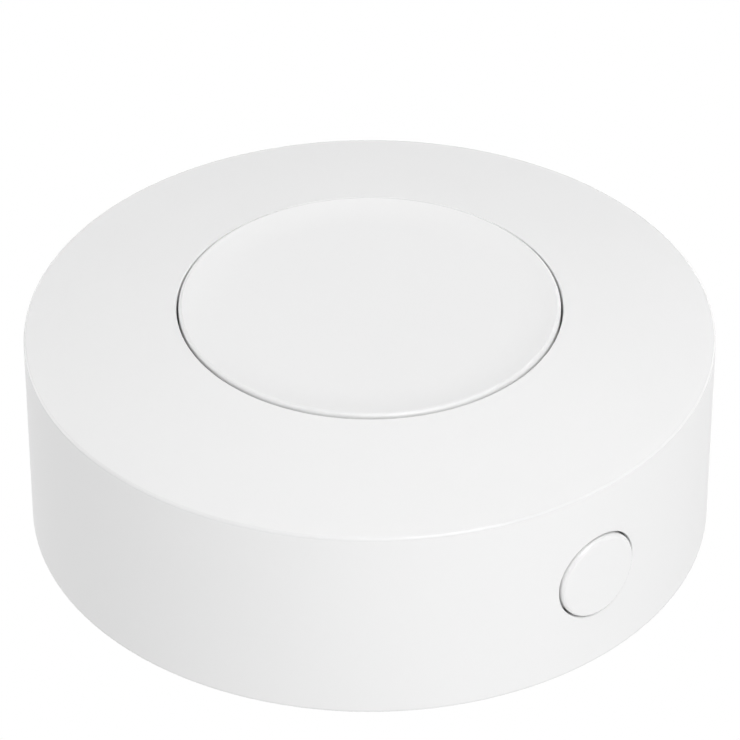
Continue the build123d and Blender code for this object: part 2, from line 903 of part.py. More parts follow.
def negative_contact():
    """Two leaves from one foot under the board, sprung down onto the cell's cap."""
    start_x = -leaf_run / 2
    points = [
        (start_x - leaf_foot, board_bottom_z - leaf_sheet),
        (start_x, board_bottom_z - leaf_sheet),
        (start_x + leaf_run, cell_top_z),
        (start_x + leaf_run + leaf_tip, cell_top_z),
        (start_x + leaf_run + leaf_tip * 2, cell_top_z + leaf_sheet),
    ]
    leaves = Part()
    for y in (-leaf_spacing / 2, leaf_spacing / 2):
        leaves += Pos(0, y) * leaf_strip(points, leaf_sheet, leaf_width)
    leaves += block(
        leaf_foot,
        leaf_spacing,
        board_bottom_z - leaf_sheet,
        board_bottom_z,
        start_x - leaf_foot / 2,
    )
    return Pos(0, cell_offset) * leaves


def radio_chip():
    chip = block(chip_size, chip_size, board_top_z, board_top_z + chip_height, *chip_place)
    return chamfer(chip.edges().group_by(Axis.Z)[-1], chip_bevel)


def crystal():
    can = block(crystal_width, crystal_length, board_top_z, board_top_z + crystal_height)
    return Pos(*crystal_place) * fillet(can.edges().filter_by(Axis.Z), crystal_round)


def antenna():
    """Printed meander along the far edge of the board."""
    edge_y = inner_radius - board_gap - antenna_edge - antenna_reach
    start_x = -antenna_turns * antenna_pitch / 2
    trace_shape = Sketch()
    for index in range(antenna_turns + 1):
        x = start_x + antenna_pitch * index
        trace_shape += Pos(x, edge_y) * Rectangle(antenna_line, antenna_reach)
    for index in range(antenna_turns):
        x = start_x + antenna_pitch * (index + 1 / 2)
        end = (antenna_reach - antenna_line) / 2 * (-1) ** index
        trace_shape += Pos(x, edge_y + end) * Rectangle(antenna_pitch + antenna_line, antenna_line)
    return Pos(0, 0, board_top_z) * extrude(trace_shape, antenna_sheet)


def small_parts(height, column_steps, back_steps, front_steps):
    """Chip parts beside the main switch, and in a row behind and in front of it."""
    places = [(column_x, column_pitch * step) for step in column_steps]
    places += [(row_pitch * step, row_y) for step in back_steps]
    places += [(row_pitch * step, -row_y) for step in front_steps]
    parts = []
    for place in places:
        parts.append(block(part_length, part_width, board_top_z, board_top_z + height, *place))
    return Compound(children=parts)


def board_capacitors():
    return small_parts(
        capacitor_height, capacitor_column_steps, capacitor_back_steps, capacitor_front_steps
    )


def board_resistors():
    return small_parts(
        resistor_height, resistor_column_steps, resistor_back_steps, resistor_front_steps
    )


pieces = {
    "housing": housing(),
    "main_button": main_button(),
    "side_button": side_button(),
    "base_cover": base_cover(),
    "foot_pad": foot_pad(),
    "battery_tray": battery_tray(),
    "tray_screws": tray_screws(),
    "circuit_board": circuit_board(),
    "main_switch_case": main_switch_case(),
    "main_switch_cover": main_switch_cover(),
    "main_switch_plunger": main_switch_plunger(),
    "main_switch_dome": main_switch_dome(),
    "main_switch_terminals": main_switch_terminals(),
    "side_switch_case": side_switch_case(),
    "side_switch_bracket": side_switch_bracket(),
    "side_switch_plunger": side_switch_plunger(),
    "side_switch_dome": side_switch_dome(),
    "side_switch_terminals": side_switch_terminals(),
    "cell_can": Pos(0, cell_offset) * cell_can(),
    "cell_gasket": Pos(0, cell_offset) * cell_gasket(),
    "cell_cap": Pos(0, cell_offset) * cell_cap(),
    "cell_filling": Pos(0, cell_offset) * cell_filling(),
    "positive_contact": positive_contact(),
    "negative_contact": negative_contact(),
    "radio_chip": radio_chip(),
    "crystal": crystal(),
    "antenna": antenna(),
    "board_capacitors": board_capacitors(),
    "board_resistors": board_resistors(),
}

os.makedirs("parts", exist_ok=True)
for name, piece in pieces.items():
    export_step(piece, f"parts/{name}.step")
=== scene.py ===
import json
import math

import bmesh
import bpy
from mathutils import Matrix, Vector


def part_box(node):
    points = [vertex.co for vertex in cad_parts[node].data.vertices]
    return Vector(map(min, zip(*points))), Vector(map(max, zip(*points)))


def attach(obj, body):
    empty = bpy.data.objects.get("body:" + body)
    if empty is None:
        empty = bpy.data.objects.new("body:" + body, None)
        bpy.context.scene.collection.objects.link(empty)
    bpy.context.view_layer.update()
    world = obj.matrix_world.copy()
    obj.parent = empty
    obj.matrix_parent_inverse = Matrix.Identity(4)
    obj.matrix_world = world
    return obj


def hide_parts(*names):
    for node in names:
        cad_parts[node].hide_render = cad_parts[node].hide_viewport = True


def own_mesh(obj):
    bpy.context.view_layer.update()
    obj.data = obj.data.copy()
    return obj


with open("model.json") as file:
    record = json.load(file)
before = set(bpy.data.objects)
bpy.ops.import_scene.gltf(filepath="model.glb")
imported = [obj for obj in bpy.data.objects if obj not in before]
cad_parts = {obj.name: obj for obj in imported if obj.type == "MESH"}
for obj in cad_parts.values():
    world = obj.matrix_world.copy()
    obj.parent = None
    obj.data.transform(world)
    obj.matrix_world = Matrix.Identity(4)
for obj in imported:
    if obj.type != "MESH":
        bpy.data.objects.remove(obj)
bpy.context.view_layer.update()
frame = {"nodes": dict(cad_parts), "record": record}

# Smart button: a round wireless push button with a second small button in its side wall.
# Metres, in the model's own frame. First the edges, levels and places that the finishes follow.
MM = 0.001
OUTER_RADIUS = 19.5 * MM
RIM_HEIGHT = 12.1 * MM
FOOT_EDGE_HEIGHT = 0.16 * MM
BUTTON_RADIUS = 10.76 * MM
DISH_RADIUS = 8.4 * MM
SIDE_BUTTON_RADIUS = 2.56 * MM
SIDE_BUTTON_HEIGHT = 6.15 * MM
SLOT_HALF_LENGTH = 6.0 * MM
SLOT_HALF_WIDTH = 1.0 * MM
CELL_CENTRE = (0, 1.8 * MM)
BOARD_BOTTOM = 9.9 * MM
BOARD_TOP = 10.7 * MM
CHIP_MARK = (-7.35 * MM, 3.2 * MM)
CHIP_MARK_RADIUS = 0.27 * MM
CHIP_PART_PITCH = 2.6 * MM
CHIP_PART_COLUMN = 4.95 * MM
CHIP_PART_ROWS_END = 3.7 * MM
CHIP_PART_LENGTH = 1.6 * MM
CHIP_PART_CAP = 0.3 * MM

# The sprung domes of the switches, and the threads of the tray screws
DOME_SHEET = 0.08 * MM
DOME_ARC_STEPS = 8
DOME_TURN_STEPS = 48
DOME_MERGE = DOME_SHEET / 100
PLUNGER_TRAVEL = 0.25 * MM
SCREW_ANGLES = (20, 160, 220, 320)
SCREW_CIRCLE_RADIUS = 15.8 * MM
THREAD_RADIUS = 0.8 * MM
THREAD_ROOT_RADIUS = 0.58 * MM
THREAD_BOTTOM = 8.35 * MM
THREAD_PITCH = 0.55 * MM
THREAD_HALF_WIDTH = 0.15 * MM
THREAD_TURNS = 5
THREAD_TURN_STEPS = 24
THREAD_END_RISE = 0.1
SHARP_ANGLE = math.radians(40)

# Plastics: size and depth of the tool's grain, size and shade of the flow marks, how far the two
# swing the roughness, how much smoother touch makes it, and the fingertip's share of a button's face
TOOL_GRAIN = 0.11 * MM
TOOL_DEPTH = 0.003 * MM
SHELL_ROUGHNESS = 0.46
FLOW_SIZE = 9 * MM
FLOW_SHADE = 0.985
GRAIN_SWING = 0.12
FLOW_SWING = 0.08
POLISH = 0.24
FINGER_SPOT = 1 / 3
SMUDGE_SIZE = 3 * MM
SMUDGE_POLISH = 0.08

# Where polish or painted shade starts and is full, as distances short of an edge
RIM_SIDE_POLISH = (0.25 * MM, 0.1 * MM)
RIM_TOP_POLISH = (0.3 * MM, 0.1 * MM)
FOOT_PAINTED_SHADE_REACH = (-0.2 * MM, -0.05 * MM)
BUTTON_POLISH = (0.3 * MM, 0.16 * MM)
SIDE_BUTTON_POLISH = (0.2 * MM, 0.1 * MM)

# Camera at the photograph's angle, placed in outer radii of the button
CAMERA_AZIMUTH = -39.72
CAMERA_ELEVATION = 35.75
CAMERA_DISTANCE = 13.0838
CAMERA_AIM_HEIGHT = 0.4674
CAMERA_CLIP = (0.01, 10)
PHOTO_WIDTH = 740
FOCAL_LENGTH_PIXELS = 4490.18
SHIFT_PIXELS = 0.3
SENSOR_WIDTH = 36

# Studio
FLOOR_SIZE = 6.0
FLOOR_DROP = 0.01 * MM
FLOOR_GLOW = 1.0
FLOOR_FADE = (0.5, 2.0)
HORIZON_GLOW = 0.7
SKY_GLOW = 0.145
SKY_FADE = (0.03, 0.15)
LIGHT_DISTANCE = 0.8
# Azimuth, elevation, width and power
LIGHTS = {
    "upper_front_light": (-20, 70, 0.5, 2.25),
    "front_light": (-10, 35, 0.4, 2.33),
    "front_glint_light": (-30, 54, 0.2, 0.45),
    "upper_right_light": (85, 52, 0.3, 0.41),
    "right_light": (100, 35, 0.3, 0.24),
    "low_right_light": (104, 12, 0.4, 0.5),
    "high_back_light": (140, 60, 0.5, 1.06),
    "back_light": (140, 37, 0.3, 0.19),
    "low_back_light": (178, 8, 0.5, 0.66),
    "low_left_light": (-155, 10, 0.5, 1.58),
}


def direction(azimuth, elevation):
    """Unit vector towards a place round the object: azimuth 0 is -Y and turns towards +X."""
    turn, rise = math.radians(azimuth), math.radians(elevation)
    return Vector((math.sin(turn) * math.cos(rise), -math.cos(turn) * math.cos(rise), math.sin(rise)))


def aim(item, place, target):
    item.location = place
    item.rotation_mode = "QUATERNION"
    item.rotation_quaternion = (target - place).to_track_quat("-Z", "Y")


def link(item):
    bpy.context.scene.collection.objects.link(item)
    return item


def shade(colour, factor):
    return tuple(part * factor for part in colour)


class Signal:
    """A node's output; a sum or product of outputs that are numbers adds its Math nodes."""

    def __init__(self, nodes, socket):
        self.nodes = nodes
        self.socket = socket

    def math(self, operation, *values):
        return self.nodes.node("ShaderNodeMath", {"operation": operation}, dict(enumerate(values)))

    def __add__(self, other):
        return self.math("ADD", self, other)

    def __radd__(self, other):
        return self.math("ADD", other, self)

    def __sub__(self, other):
        return self.math("SUBTRACT", self, other)

    def __rsub__(self, other):
        return self.math("SUBTRACT", other, self)

    def __mul__(self, other):
        return self.math("MULTIPLY", self, other)

    def __rmul__(self, other):
        return self.math("MULTIPLY", other, self)

    def __truediv__(self, other):
        return self.math("DIVIDE", self, other)

    def __rtruediv__(self, other):
        return self.math("DIVIDE", other, self)

    def __pow__(self, other):
        return self.math("POWER", self, other)

    def __rpow__(self, other):
        return self.math("POWER", other, self)

    def __mod__(self, other):
        return self.math("FLOORED_MODULO", self, other)

    def __rmod__(self, other):
        return self.math("FLOORED_MODULO", other, self)

    def __abs__(self):
        return self.math("ABSOLUTE", self)

    def sine(self):
        return self.math("SINE", self)

    def joined(self, other):
        return self.math("MAXIMUM", self, other)

    def within(self, low, high):
        return self.math("MINIMUM", self.math("MAXIMUM", self, low), high)

    def swing(self, reach):
        """Turns 0 to 1 into a change of this reach, half of it down and half up."""
        return (self - 0.5) * reach

    def rise(self, low, high):
        """0 below low, 1 above high, smooth between; the other way round where low is above high."""
        if low > high:
            return 1 - self.rise(high, low)
        return self.nodes.fade(self, (low, high), 0, 1)

    def near(self, edge, start, full):
        """0 until start short of an edge, 1 from full short of it on."""
        return self.rise(edge - start, edge - full)


class Nodes:
    """The nodes of a material or of the sky."""

    def __init__(self, tree):
        self.tree = tree

    def node(self, kind, settings, inputs, output=0):
        """Adds a node: its settings first, then the values or links of its sockets."""
        made = self.tree.nodes.new(kind)
        for name, value in settings.items():
            setattr(made, name, value)
        for name, value in inputs.items():
            self.connect(self.find(made.inputs, name), value)
        return Signal(self, self.find(made.outputs, output)) if made.outputs else None

    def find(self, sockets, key):
        """A socket by its identifier, its name or its place in the list."""
        match = [item for item in sockets if item.identifier == key]
        return match[0] if match else sockets[key]

    def connect(self, socket, value):
        if isinstance(value, Signal):
            self.tree.links.new(value.socket, socket)
        else:
            socket.default_value = value

    def fade(self, value, span, start, end):
        """Goes smoothly from start to end while the value crosses the span."""
        inputs = {"Value": value, "From Min": span[0], "From Max": span[1], "To Min": start, "To Max": end}
        return self.node("ShaderNodeMapRange", {"interpolation_type": "SMOOTHSTEP"}, inputs)


class Finish(Nodes):
    """A material of one piece's surface, its pattern fixed to the piece's own coordinates."""

    def __init__(self, name):
        self.material = bpy.data.materials.new(name)
        self.material.use_nodes = True
        super().__init__(self.material.node_tree)
        self.place = self.node("ShaderNodeTexCoord", {}, {}, "Object")

    def set(self, socket, value):
        self.connect(self.tree.nodes["Principled BSDF"].inputs[socket], value)

    def axes(self):
        x = self.node("ShaderNodeSeparateXYZ", {}, {"Vector": self.place})
        return [Signal(self, output) for output in x.socket.node.outputs]

    def radius(self, centre=(0, 0)):
        """Distance from an upright axis."""
        x, y, _ = self.axes()
        return ((x - centre[0]) ** 2 + (y - centre[1]) ** 2) ** 0.5

    def drawn(self, share):
        """The place squeezed along X to this share, for a grain drawn out that way."""
        inputs = {0: self.place, 1: (share, 1, 1)}
        return self.node("ShaderNodeVectorMath", {"operation": "MULTIPLY"}, inputs)

    def grain(self, size, detail=2, place=None):
        """Soft noise from 0 to 1 with features of about this size."""
        inputs = {"Vector": place or self.place, "Scale": 1 / size, "Detail": detail}
        return self.node("ShaderNodeTexNoise", {}, inputs)

    def cells(self, size):
        """Distance to the nearest of scattered points this far apart."""
        return self.node("ShaderNodeTexVoronoi", {}, {"Vector": self.place, "Scale": 1 / size})

    def patches(self, size):
        """A level from 0 to 1 for each of a set of areas with straight and slanted edges."""
        inputs = {"Vector": self.place, "Scale": 1 / size}
        return self.node("ShaderNodeTexVoronoi", {"distance": "MANHATTAN"}, inputs, "Color")

    def tint(self, mask, low, high):
        """One colour where the mask is 0, the other where it is 1."""
        inputs = {"Factor": mask}
        for name, colour in (("A_Color", low), ("B_Color", high)):
            inputs[name] = colour if isinstance(colour, Signal) else (*colour, 1)
        return self.node("ShaderNodeMix", {"data_type": "RGBA"}, inputs, "Result_Color")

    def done(self):
        """Connects the colour, roughness and relief that have been gathered."""
        self.set("Base Color", self.colour)
        self.set("Roughness", self.rough)
        inputs = {"Height": self.height, "Distance": self.depth, "Strength": 1.0}
        self.set("Normal", self.node("ShaderNodeBump", {}, inputs))
        return self.material


def moulded(name, colour, roughness=SHELL_ROUGHNESS, grain=TOOL_GRAIN, depth=TOOL_DEPTH):
    """Moulded plastic: fine grain from the tool, and slow shading where the melt flowed."""
    finish = Finish(name)
    fine = finish.grain(grain)
    flow = finish.grain(FLOW_SIZE, detail=3)
    finish.colour = finish.tint(flow, shade(colour, FLOW_SHADE), colour)
    finish.rough = roughness + fine.swing(GRAIN_SWING) + flow.swing(FLOW_SWING)
    finish.height = fine
    finish.depth = depth
    return finish


SHELL_WHITE = (0.87, 0.87, 0.87)
# Painted shade: a darker grey for the shell's foot edge, standing in for the shade where it meets the
# floor
FOOT_PAINTED_SHADE = (0.72, 0.72, 0.715)
FOOT_PAINTED_SHADE_SHARE = 0.8
FOOT_SHADE_ROUGHNESS = 0.15


def shell_plastic():
    """The housing: its upper rim is polished by handling, its foot edge is darkened with painted shade."""
    finish = moulded("shell_plastic", SHELL_WHITE)
    _, _, z = finish.axes()
    rim = finish.radius().near(OUTER_RADIUS, *RIM_SIDE_POLISH) * z.near(RIM_HEIGHT, *RIM_TOP_POLISH)
    # Painted shade: the band at the foot edge is darkened in colour, and made rougher
    foot = z.near(FOOT_EDGE_HEIGHT, *FOOT_PAINTED_SHADE_REACH)
    finish.colour = finish.tint(foot * FOOT_PAINTED_SHADE_SHARE, finish.colour, FOOT_PAINTED_SHADE)
    finish.rough = finish.rough - rim * POLISH + foot * FOOT_SHADE_ROUGHNESS
    return finish.done()


def button_plastic(name, touched):
    """A button's cap: the edge, and faintly the middle, polished by fingers."""
    finish = moulded(name, SHELL_WHITE)
    edge, middle = touched(finish)
    smudge = finish.grain(SMUDGE_SIZE, detail=4)
    finish.rough = finish.rough - edge * POLISH - middle * smudge * SMUDGE_POLISH
    return finish.done()


def main_button_touched(finish):
    radius = finish.radius()
    return radius.near(BUTTON_RADIUS, *BUTTON_POLISH), radius.rise(DISH_RADIUS, DISH_RADIUS * FINGER_SPOT)


def side_button_touched(finish):
    x, _, z = finish.axes()
    radius = (x**2 + (z - SIDE_BUTTON_HEIGHT) ** 2) ** 0.5
    edge = radius.near(SIDE_BUTTON_RADIUS, *SIDE_BUTTON_POLISH)
    return edge, radius.rise(SIDE_BUTTON_RADIUS, SIDE_BUTTON_RADIUS * FINGER_SPOT)


COVER_WHITE = (0.85, 0.85, 0.85)
RUBBED_GREY = (0.7, 0.7, 0.695)
MARK_WIDTH = 0.3 * MM
MARK_DRAW = 0.06
MARK_LEVELS = (0.62, 0.7)
MARKED_AREA = 4 * MM
MARKED_LEVELS = (0.45, 0.6)
MARK_TINT = 0.5
MARK_POLISH = 0.15
SLOT_RUB_REACH = 0.6 * MM
SLOT_TINT = 0.2
SLOT_POLISH = 0.12


def cover_plastic():
    """The cover's underside: coarser grain, rubbing marks, and polish round the coin slot."""
    finish = moulded("cover_plastic", COVER_WHITE, roughness=0.5, grain=0.14 * MM, depth=0.006 * MM)
    x, y, _ = finish.axes()
    marks = finish.grain(MARK_WIDTH, 3, finish.drawn(MARK_DRAW)).rise(*MARK_LEVELS)
    marks = marks * finish.grain(MARKED_AREA).rise(*MARKED_LEVELS)
    slot = abs(x).rise(SLOT_HALF_LENGTH + SLOT_RUB_REACH, SLOT_HALF_LENGTH)
    slot = slot * abs(y).rise(SLOT_HALF_WIDTH + SLOT_RUB_REACH, SLOT_HALF_WIDTH)
    finish.colour = finish.tint(marks * MARK_TINT + slot * SLOT_TINT, finish.colour, RUBBED_GREY)
    finish.rough = finish.rough - marks * MARK_POLISH - slot * SLOT_POLISH
    return finish.done()


PAD_DARK = (0.5, 0.5, 0.5)
PAD_PALE = (0.58, 0.58, 0.575)
PAD_ROUGHNESS = 0.72
PAD_SWING = 0.1
PEBBLE_SIZE = 0.35 * MM
PEBBLE_LEVELS = (0.0, 0.6)
PEBBLE_GRAIN = 0.06 * MM
PEBBLE_GRAIN_HEIGHT = 0.3
PEBBLE_DEPTH = 0.025 * MM
DUST = (0.78, 0.77, 0.75)
DUST_PITCH = 1.3 * MM
DUST_LEVELS = (0.12, 0.06)
DUST_TINT = 0.5
CLOUD_SIZE = 5 * MM


def pad_rubber():
    """Grey rubber foam skin: pebbled, with dust caught in it."""
    finish = Finish("pad_rubber")
    pebble = finish.cells(PEBBLE_SIZE)
    dust = finish.cells(DUST_PITCH).rise(*DUST_LEVELS)
    cloud = finish.grain(CLOUD_SIZE, detail=3)
    finish.colour = finish.tint(dust * DUST_TINT, finish.tint(cloud, PAD_DARK, PAD_PALE), DUST)
    finish.rough = PAD_ROUGHNESS + cloud * PAD_SWING + dust * PAD_SWING
    finish.height = pebble.rise(*PEBBLE_LEVELS) + finish.grain(PEBBLE_GRAIN) * PEBBLE_GRAIN_HEIGHT
    finish.depth = PEBBLE_DEPTH
    return finish.done()


TRAY_WHITE = (0.8, 0.8, 0.79)
FLOW_LINE_PITCH = 0.5 * MM
FLOW_LINE_WAVER = 4
FLOW_LINE_WAVER_SIZE = 3 * MM
FLOW_LINE_SHADE = 0.97


def tray_plastic():
    """Natural white moulding with flow lines that run round from its gate."""
    finish = moulded("tray_plastic", TRAY_WHITE, roughness=0.5, grain=0.15 * MM, depth=0.005 * MM)
    waver = finish.grain(FLOW_LINE_WAVER_SIZE) * FLOW_LINE_WAVER
    lines = (finish.radius(CELL_CENTRE) / FLOW_LINE_PITCH + waver).sine()
    finish.colour = finish.tint(lines * 0.5 + 0.5, shade(TRAY_WHITE, FLOW_LINE_SHADE), finish.colour)
    return finish.done()


MASK_GREEN = (0.02, 0.16, 0.07)
COPPER_GREEN = (0.05, 0.27, 0.12)
VIA_GOLD = (0.72, 0.58, 0.3)
CORE_TAN = (0.55, 0.5, 0.3)
WEAVE_PITCH = 0.09 * MM
WEAVE_SWING = 0.06
WEAVE_HEIGHT = 0.15
TRACK_PITCH = 0.8 * MM
TRACK_RUN = 7.0 * MM
TRACK_BEND = (0.3, 0.7)
TRACK_LEVELS = (0.25, 0.45)
PLANE_SIZE = 3.5 * MM
PLANE_LEVELS = (0.5, 0.51)
VIA_PITCH = 2.1 * MM
VIA_LEVELS = (0.13, 0.1)
MASK_ROUGHNESS = 0.28
CORE_ROUGHNESS = 0.4
MASK_EDGE = (-0.01 * MM, -0.04 * MM)
COPPER_DEPTH = 0.02 * MM


def board_laminate():
    """Green solder mask over copper tracks and planes, glass weave under it, bare core at the edge."""
    finish = Finish("board_laminate")
    x, y, z = finish.axes()
    weave = (x / WEAVE_PITCH).sine() * (y / WEAVE_PITCH).sine() * 0.5 + 0.5
    bend = abs((y / TRACK_RUN) % 2 - 1).within(*TRACK_BEND) * TRACK_RUN
    tracks = ((x + bend) / TRACK_PITCH * math.tau).sine().rise(*TRACK_LEVELS)
    copper = tracks.joined(finish.patches(PLANE_SIZE).rise(*PLANE_LEVELS))
    vias = finish.cells(VIA_PITCH).rise(*VIA_LEVELS)
    core = z.near(BOARD_BOTTOM, *MASK_EDGE)
    core = core * z.rise(BOARD_TOP + MASK_EDGE[0], BOARD_TOP + MASK_EDGE[1])
    mask = finish.tint(vias, finish.tint(copper, MASK_GREEN, COPPER_GREEN), VIA_GOLD)
    finish.colour = finish.tint(core, mask, CORE_TAN)
    finish.rough = MASK_ROUGHNESS + weave * WEAVE_SWING + core * CORE_ROUGHNESS
    finish.height = copper + weave * WEAVE_HEIGHT + vias
    finish.depth = COPPER_DEPTH
    finish.set("Metallic", vias * (1 - core))
    return finish.done()


FLECK_SIZE = 0.12 * MM
FLECK_DRAW = 0.25
FLECK_LEVELS = (0.6, 0.72)
FLECK_TINT = 0.4
FLECK_LIFT = 0.08
FLECK_ROUGHNESS = 0.08


def filled_plastic(name, colour, roughness):
    """Dark plastic with short glass fibres that show as paler flecks."""
    finish = moulded(name, colour, roughness, grain=0.08 * MM, depth=0.004 * MM)
    flecks = finish.grain(FLECK_SIZE, 2, finish.drawn(FLECK_DRAW)).rise(*FLECK_LEVELS)
    pale = tuple(part + FLECK_LIFT for part in colour)
    finish.colour = finish.tint(flecks * FLECK_TINT, finish.colour, pale)
    finish.rough = finish.rough + flecks * FLECK_ROUGHNESS
    return finish.done()


CHIP_BLACK = (0.03, 0.03, 0.032)
CHIP_MARK_EDGE = 0.03 * MM
CHIP_MARK_POLISH = 0.3
CHIP_MARK_DEPTH = 3


def chip_plastic():
    """Black moulding compound, satin on top, with a small round mark at one corner."""
    finish = moulded("chip_plastic", CHIP_BLACK, roughness=0.55, grain=0.05 * MM, depth=0.004 * MM)
    mark = finish.radius(CHIP_MARK).rise(CHIP_MARK_RADIUS + CHIP_MARK_EDGE, CHIP_MARK_RADIUS)
    finish.rough = finish.rough - mark * CHIP_MARK_POLISH
    finish.height = finish.height - mark * CHIP_MARK_DEPTH
    return finish.done()


TIN = (0.7, 0.7, 0.68)
CHIP_PART_GRAIN = 0.06 * MM
CHIP_PART_SHADE = 0.85
CHIP_PART_ROUGHNESS = 0.42
CHIP_PART_SWING = 0.15
CHIP_PART_DEPTH = 0.01 * MM
CHIP_PART_CAP_EDGE = 0.04 * MM
CHIP_PART_ROWS_GAP = 0.1 * MM
TIN_POLISH = 0.12


def chip_part(name, body_colour):
    """Ceramic chip part: pale or dark body with tinned ends."""
    finish = Finish(name)
    x, _, _ = finish.axes()
    across = abs(abs(x) - CHIP_PART_COLUMN)
    in_row = abs((x + CHIP_PART_PITCH / 2) % CHIP_PART_PITCH - CHIP_PART_PITCH / 2)
    beside = abs(x).rise(CHIP_PART_ROWS_END, CHIP_PART_ROWS_END + CHIP_PART_ROWS_GAP)
    reach = across * beside + in_row * (1 - beside)
    cap = CHIP_PART_LENGTH / 2 - CHIP_PART_CAP
    ends = reach.rise(cap - CHIP_PART_CAP_EDGE, cap)
    fine = finish.grain(CHIP_PART_GRAIN)
    body = finish.tint(fine, shade(body_colour, CHIP_PART_SHADE), body_colour)
    finish.colour = finish.tint(ends, body, TIN)
    finish.rough = CHIP_PART_ROUGHNESS + fine * CHIP_PART_SWING - ends * TIN_POLISH
    finish.height = fine + ends
    finish.depth = CHIP_PART_DEPTH
    finish.set("Metallic", ends)
    return finish.done()


STAIN_SIZE = 2.5 * MM
STAIN_SHADE = 0.85
STAIN_SWING = 0.1
METAL_SWING = 0.2


def metal(name, colour, roughness, lines, depth):
    """Metal with a fine grain, stained a little where it has been held."""
    finish = Finish(name)
    finish.set("Metallic", 1.0)
    grain = lines(finish)
    stain = finish.grain(STAIN_SIZE, detail=3)
    finish.colour = finish.tint(stain, shade(colour, STAIN_SHADE), colour)
    finish.rough = roughness + grain.swing(METAL_SWING) + stain.swing(STAIN_SWING)
    finish.height = grain
    finish.depth = depth
    return finish.done()


ROLLED_GRAIN = 0.08 * MM
ROLLED_DRAW = 0.08
PLATED_GRAIN = 0.07 * MM
SPUN_GRAIN = 0.09 * MM


def rolled(finish):
    return finish.grain(ROLLED_GRAIN, 2, finish.drawn(ROLLED_DRAW))


def plated(finish):
    return finish.grain(PLATED_GRAIN, detail=3)


def spun(finish):
    """Rings round the cell's own axis."""
    _, _, z = finish.axes()
    rings = finish.node("ShaderNodeCombineXYZ", {}, {"X": finish.radius(CELL_CENTRE), "Z": z})
    return finish.grain(SPUN_GRAIN, 2, rings)


MIX_DARK = (0.05, 0.05, 0.052)
MIX_PALE = (0.11, 0.11, 0.11)
MIX_BRIGHT = (0.4, 0.4, 0.38)
MIX_GRAIN = 0.12 * MM
MIX_BRIGHT_PITCH = 0.3 * MM
MIX_BRIGHT_LEVELS = (0.12, 0.05)
MIX_BRIGHT_TINT = 0.5
MIX_ROUGHNESS = 0.85
MIX_BRIGHT_POLISH = 0.3
MIX_DEPTH = 0.03 * MM


def cell_mix():
    """Pressed powder electrode: coarse dark grains with a few bright ones."""
    finish = Finish("cell_mix")
    grains = finish.cells(MIX_GRAIN)
    bright = finish.cells(MIX_BRIGHT_PITCH).rise(*MIX_BRIGHT_LEVELS)
    body = finish.tint(grains, MIX_DARK, MIX_PALE)
    finish.colour = finish.tint(bright * MIX_BRIGHT_TINT, body, MIX_BRIGHT)
    finish.rough = MIX_ROUGHNESS - bright * MIX_BRIGHT_POLISH
    finish.height = grains
    finish.depth = MIX_DEPTH
    return finish.done()


SCREW_STEEL = (0.62, 0.62, 0.61)
SHEET_STEEL = (0.7, 0.7, 0.69)
CELL_STEEL = (0.66, 0.66, 0.64)
BRASS = (0.75, 0.62, 0.4)
SWITCH_BLACK = (0.03, 0.03, 0.03)
PLUNGER_BROWN = (0.09, 0.085, 0.08)
GASKET_WHITE = (0.75, 0.75, 0.72)
CAPACITOR_TAN = (0.55, 0.4, 0.27)
RESISTOR_BLACK = (0.04, 0.04, 0.045)

FINISHES = {
    "shell_plastic": shell_plastic(),
    "button_plastic": button_plastic("button_plastic", main_button_touched),
    "pad_rubber": pad_rubber(),
    "tray_plastic": tray_plastic(),
    "screw_steel": metal("screw_steel", SCREW_STEEL, roughness=0.34, lines=plated, depth=0.003 * MM),
    "board_laminate": board_laminate(),
    "switch_plastic": filled_plastic("switch_plastic", SWITCH_BLACK, roughness=0.5),
    "plunger_plastic": filled_plastic("plunger_plastic", PLUNGER_BROWN, roughness=0.42),
    "sheet_steel": metal("sheet_steel", SHEET_STEEL, roughness=0.3, lines=rolled, depth=0.002 * MM),
    "terminal_metal": metal("terminal_metal", BRASS, roughness=0.35, lines=plated, depth=0.003 * MM),
    "cell_steel": metal("cell_steel", CELL_STEEL, roughness=0.26, lines=spun, depth=0.002 * MM),
    "gasket_plastic": moulded("gasket_plastic", GASKET_WHITE, roughness=0.3, grain=0.1 * MM).done(),
    "cell_mix": cell_mix(),
    "chip_plastic": chip_plastic(),
    "capacitor_ceramic": chip_part("capacitor_ceramic", CAPACITOR_TAN),
}
NODE_FINISHES = {
    "side_button": button_plastic("side_button_plastic", side_button_touched),
    "base_cover": cover_plastic(),
    "board_resistors": chip_part("resistor_glaze", RESISTOR_BLACK),
}

for part in frame["record"]["subparts"]:
    mesh = frame["nodes"][part["node"]].data
    mesh.materials.clear()
    mesh.materials.append(NODE_FINISHES.get(part["node"], FINISHES[part["material_slot"]]))


def case_piece(mesh, name, slot):
    """A new piece of the case from a finished mesh, smooth but for its corners."""
    for face in mesh.faces:
        face.smooth = True
    for edge in mesh.edges:
        edge.smooth = edge.calc_face_angle() < SHARP_ANGLE
    made = link(bpy.data.objects.new(name, bpy.data.meshes.new(name)))
    mesh.to_mesh(made.data)
    mesh.free()
    made.data.materials.append(FINISHES[slot])
    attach(made, "case")
    return made


